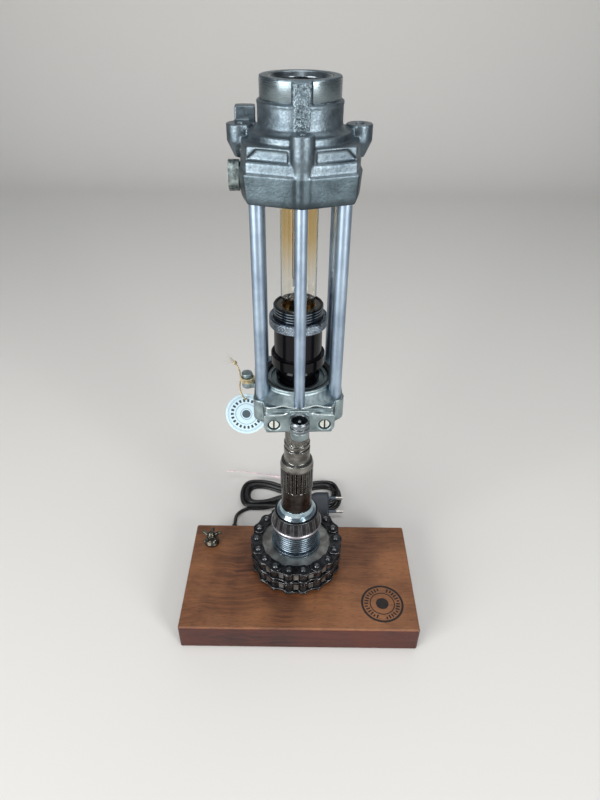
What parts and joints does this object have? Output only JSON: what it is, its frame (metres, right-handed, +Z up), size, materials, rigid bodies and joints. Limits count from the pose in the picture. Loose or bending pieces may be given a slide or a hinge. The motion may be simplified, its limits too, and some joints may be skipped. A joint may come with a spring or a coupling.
{
  "type": "table lamp",
  "caption": "Table lamp built from machine parts: wooden base, roller chain and sprocket, splined shaft, cast housings joined by tubes, long filament bulb.",
  "frame": {"origin": "middle of the wooden base's footprint, on the surface that its feet stand on", "axes": "+Z up, +X along the base to the viewer's right, the front faces -Y"},
  "size_m": [0.26, 0.2707, 0.5446],
  "materials": {
    "varnished_wood": "satin varnish",
    "base_plate_steel": "plain sheet",
    "felt_feet": "felt",
    "bright_screws": "satin",
    "chain_steel": "oiled dark",
    "chain_pin_steel": "oiled",
    "sprocket_steel": "matt sintered",
    "collar_steel": "blued, turned",
    "race_steel": "ground",
    "cage_steel": "pressed",
    "roller_steel": "ground",
    "dish_steel": "polished",
    "shaft_steel": "machined",
    "cast_aluminium_light": "as cast",
    "cast_aluminium_grey": "as cast, satin",
    "black_seal": "matt",
    "port_brightwork": "turned",
    "tube_aluminium": "satin",
    "stud_steel": "plain",
    "liner_steel": "bright",
    "side_plug_alloy": "turned",
    "tie_tube_steel": "zinc plated",
    "nut_steel": "zinc plated",
    "holder_black": "gloss",
    "holder_black_nickel": "black nickel",
    "holder_ceramic": "black glaze",
    "shell_brass": "plain",
    "bulb_cap_brass": "bright",
    "bulb_vitrite": "black glass",
    "contact_tin": "soldered",
    "amber_glass": "clear, amber lustre above",
    "stem_glass": "clear",
    "filament_dark": "carbon",
    "switch_black": "moulded",
    "switch_bright": "plated",
    "handle_iron": "worn cast",
    "terminal_plastic": "moulded",
    "cord_black": "satin",
    "plug_grey": "moulded",
    "pin_bright": "plated",
    "sleeve_grey": "moulded",
    "tie_white": "plastic coated wire",
    "tag_paper": "printed rings",
    "jute": "twisted string"
  },
  "bodies": {
    "lamp": {"base_board": "varnished_wood", "base_cover": "base_plate_steel", "base_feet": "felt_feet", "base_nut": "nut_steel", "base_washer": "nut_steel", "bearing_race": "race_steel", "cage_studs": "stud_steel", "centre_contact": "shell_brass", "centre_tubes": "tube_aluminium", "chain_inner_plates": "chain_steel", "chain_middle_plates": "chain_steel", "chain_outer_plates": "chain_steel", "chain_pins": "chain_pin_steel", "chain_rollers": "chain_steel", "cord_grommet": "black_seal", "cord_hank": "cord_black", "cord_lead": "cord_black", "cord_tail": "cord_black", "corner_tubes": "tube_aluminium", "cover_screws": "bright_screws", "dished_ring": "dish_steel", "duplex_sprocket": "sprocket_steel", "flange_screws": "bright_screws", "hang_tag": "tag_paper", "holder_body": "holder_black_nickel", "holder_cap": "holder_black", "holder_foot": "holder_black", "holder_insulator": "holder_ceramic", "holder_nut": "nut_steel", "inner_lead": "cord_black", "lower_housing": "cast_aluminium_light", "neck_liner": "liner_steel", "plug_body": "plug_grey", "plug_pins": "pin_bright", "plug_sleeves": "sleeve_grey", "port_fitting": "port_brightwork", "recess_seal": "black_seal", "riser_cable": "cord_black", "side_plug": "side_plug_alloy", "socket_shell": "shell_brass", "splined_shaft": "shaft_steel", "switch_body": "switch_black", "switch_nut": "switch_bright", "tag_string": "jute", "terminal_block": "terminal_plastic", "threaded_collar": "collar_steel", "threaded_tube": "tie_tube_steel", "twist_tie": "tie_white", "upper_housing": "cast_aluminium_grey"},
    "switch_knob": {"switch_handle": "handle_iron", "switch_spindle": "switch_bright"},
    "bulb": {"bulb_cap": "bulb_cap_brass", "bulb_contact": "contact_tin", "bulb_filament": "filament_dark", "bulb_glass": "amber_glass", "bulb_insulator": "bulb_vitrite", "bulb_stem": "stem_glass"},
    "ring": {"shade_ring": "holder_black_nickel"},
    "bearing": {"bearing_cage": "cage_steel", "bearing_rollers": "roller_steel"}
  },
  "joints": [
    {"name": "switch_turn", "type": "hinge", "parent": "lamp", "child": "switch_knob", "pos_m": [-0.1076, 0.044, 0.0346], "axis": [0, 0, 1], "range_deg": [0, 270]},
    {"name": "bulb_unscrew", "type": "slide", "parent": "lamp", "child": "bulb", "axis": [0, 0, 1], "range_m": [0, 0.03]},
    {"name": "ring_travel", "type": "slide", "parent": "lamp", "child": "ring", "axis": [0, 0, 1], "range_m": [0, 0.01]},
    {"name": "bearing_spin", "type": "hinge", "parent": "lamp", "child": "bearing", "pos_m": [-0.0044, 0.0195, 0.1113], "axis": [0, 0, 1], "continuous": true}
  ]
}
